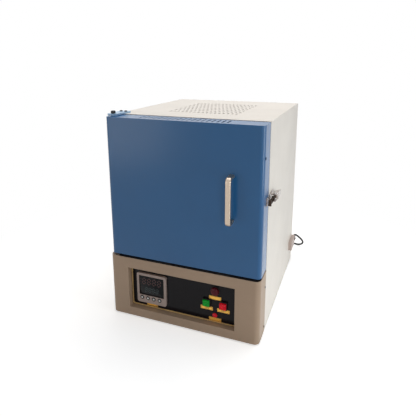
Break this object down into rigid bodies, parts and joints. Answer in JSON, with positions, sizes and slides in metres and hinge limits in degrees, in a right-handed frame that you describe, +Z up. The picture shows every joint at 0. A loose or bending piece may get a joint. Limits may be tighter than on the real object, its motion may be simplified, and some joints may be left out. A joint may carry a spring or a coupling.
{
  "type": "jewellery kiln",
  "caption": "Bench kiln with a hinged insulated door, draw latch, recessed control panel and fibre-lined chamber on a vented sheet-metal cabinet.",
  "frame": {"origin": "middle of the outline seen from above, with the mains lead left out, on the plane that the feet stand on", "axes": "+Z up, -Y out of the front, +X towards the latch side"},
  "size_m": [0.4994, 0.7113, 0.623],
  "materials": {
    "ivory_paint": "semi-gloss ivory powder coat",
    "beige_paint": "semi-gloss grey-beige powder coat",
    "blue_paint": "semi-gloss steel blue paint",
    "pale_blue_paint": "semi-gloss pale blue paint",
    "zinc_sheet": "plain zinc-coated sheet",
    "bright_steel": "bright plated steel",
    "dark_steel": "dark oiled steel",
    "black_screws": "black oxide",
    "satin_aluminium": "satin anodised",
    "raw_aluminium": "extruded",
    "brass": "turned brass",
    "fibre_board": "rigid ceramic fibre, matt and porous",
    "hearth_ceramic": "fired refractory",
    "white_ceramic": "alumina",
    "element_wire": "oxidised resistance wire",
    "rope_seal": "woven glass rope",
    "panel_black": "gloss black sheet",
    "bezel_grey": "warm grey moulding",
    "display_dark": "smoked window",
    "key_white": "soft-touch key",
    "legend_yellow": "blank yellow plate",
    "lamp_dark_red": "clear dark red lens",
    "lamp_red": "clear red lens",
    "green_cap": "green button cap",
    "red_cap": "red button cap",
    "housing_plastic": "pale switch housing",
    "black_plastic": "moulded black plastic",
    "terminal_plastic": "cream moulding",
    "foot_rubber": "moulded rubber",
    "cord_sheath": "flexible rubber sheath"
  },
  "bodies": {
    "cabinet": {"casing_shell": "ivory_paint", "base_front_panel": "beige_paint", "base_pan": "zinc_sheet", "back_panel": "ivory_paint", "front_frame": "zinc_sheet", "divider_shelf": "zinc_sheet", "inner_shell": "zinc_sheet", "floor_board": "fibre_board", "roof_board": "fibre_board", "side_boards": "fibre_board", "rear_board": "fibre_board", "hearth_plate": "hearth_ceramic", "heating_elements": "element_wire", "thermocouple": "white_ceramic", "control_panel": "panel_black", "controller_bezel": "bezel_grey", "controller_case": "black_plastic", "controller_display": "display_dark", "legend_plates": "legend_yellow", "dome_lamp": "lamp_dark_red", "pilot_lamp": "lamp_red", "lamp_bodies": "black_plastic", "switch_bodies": "housing_plastic", "hinge_brackets": "pale_blue_paint", "hinge_bolts": "black_screws", "hinge_screws": "black_screws", "latch_base": "bright_steel", "latch_rivets": "bright_steel", "power_relay": "black_plastic", "heat_sink": "raw_aluminium", "terminal_block": "terminal_plastic", "fan_frame": "black_plastic", "rubber_feet": "foot_rubber", "seam_screws": "black_screws", "inlet_box": "ivory_paint", "cord_gland": "black_plastic", "mains_cord": "cord_sheath", "mains_cord_coil": "cord_sheath", "mains_plug": "black_plastic"},
    "door": {"door_pan": "blue_paint", "door_liner": "zinc_sheet", "door_insulation": "fibre_board", "door_plug": "fibre_board", "door_seal": "rope_seal", "door_handle": "satin_aluminium", "handle_screws": "bright_steel", "door_bushes": "brass", "latch_strike": "bright_steel"},
    "latch_lever": {"latch_lever": "bright_steel", "latch_link_pin": "bright_steel"},
    "latch_hook": {"latch_hook": "dark_steel", "latch_springs": "dark_steel"},
    "start_button": {"start_button": "green_cap"},
    "stop_button": {"stop_button": "red_cap"},
    "key_1": {"key_1": "key_white"},
    "key_2": {"key_2": "key_white"},
    "key_3": {"key_3": "key_white"},
    "key_4": {"key_4": "key_white"},
    "fan_rotor": {"fan_rotor": "black_plastic"}
  },
  "joints": [
    {"name": "door_hinge", "type": "hinge", "parent": "cabinet", "child": "door", "pos_m": [-0.2246, -0.22, 0.404], "axis": [0, 0, -1], "range_deg": [0, 120]},
    {"name": "latch_lever_hinge", "type": "hinge", "parent": "cabinet", "child": "latch_lever", "pos_m": [0.2344, -0.163, 0.402], "axis": [0, 0, -1], "range_deg": [0, 110]},
    {"name": "latch_hook_hinge", "type": "hinge", "parent": "latch_lever", "child": "latch_hook", "pos_m": [0.23252, -0.14963, 0.402], "axis": [0, 0, -1], "range_deg": [-110, 0]},
    {"name": "start_button_press", "type": "slide", "parent": "cabinet", "child": "start_button", "axis": [0, 1, 0], "range_m": [0, 0.003], "stiffness_N_per_m": 400},
    {"name": "stop_button_press", "type": "slide", "parent": "cabinet", "child": "stop_button", "axis": [0, 1, 0], "range_m": [0, 0.003], "stiffness_N_per_m": 400},
    {"name": "key_1_press", "type": "slide", "parent": "cabinet", "child": "key_1", "axis": [0, 1, 0], "range_m": [0, 0.0008], "stiffness_N_per_m": 500},
    {"name": "key_2_press", "type": "slide", "parent": "cabinet", "child": "key_2", "axis": [0, 1, 0], "range_m": [0, 0.0008], "stiffness_N_per_m": 500},
    {"name": "key_3_press", "type": "slide", "parent": "cabinet", "child": "key_3", "axis": [0, 1, 0], "range_m": [0, 0.0008], "stiffness_N_per_m": 500},
    {"name": "key_4_press", "type": "slide", "parent": "cabinet", "child": "key_4", "axis": [0, 1, 0], "range_m": [0, 0.0008], "stiffness_N_per_m": 500},
    {"name": "fan_spin", "type": "hinge", "parent": "cabinet", "child": "fan_rotor", "pos_m": [-0.1276, 0.271, 0.094], "axis": [0, 1, 0], "continuous": true}
  ],
  "couplings": [
    {"joint": "latch_hook_hinge", "follows": "latch_lever_hinge", "ratio": -1}
  ]
}
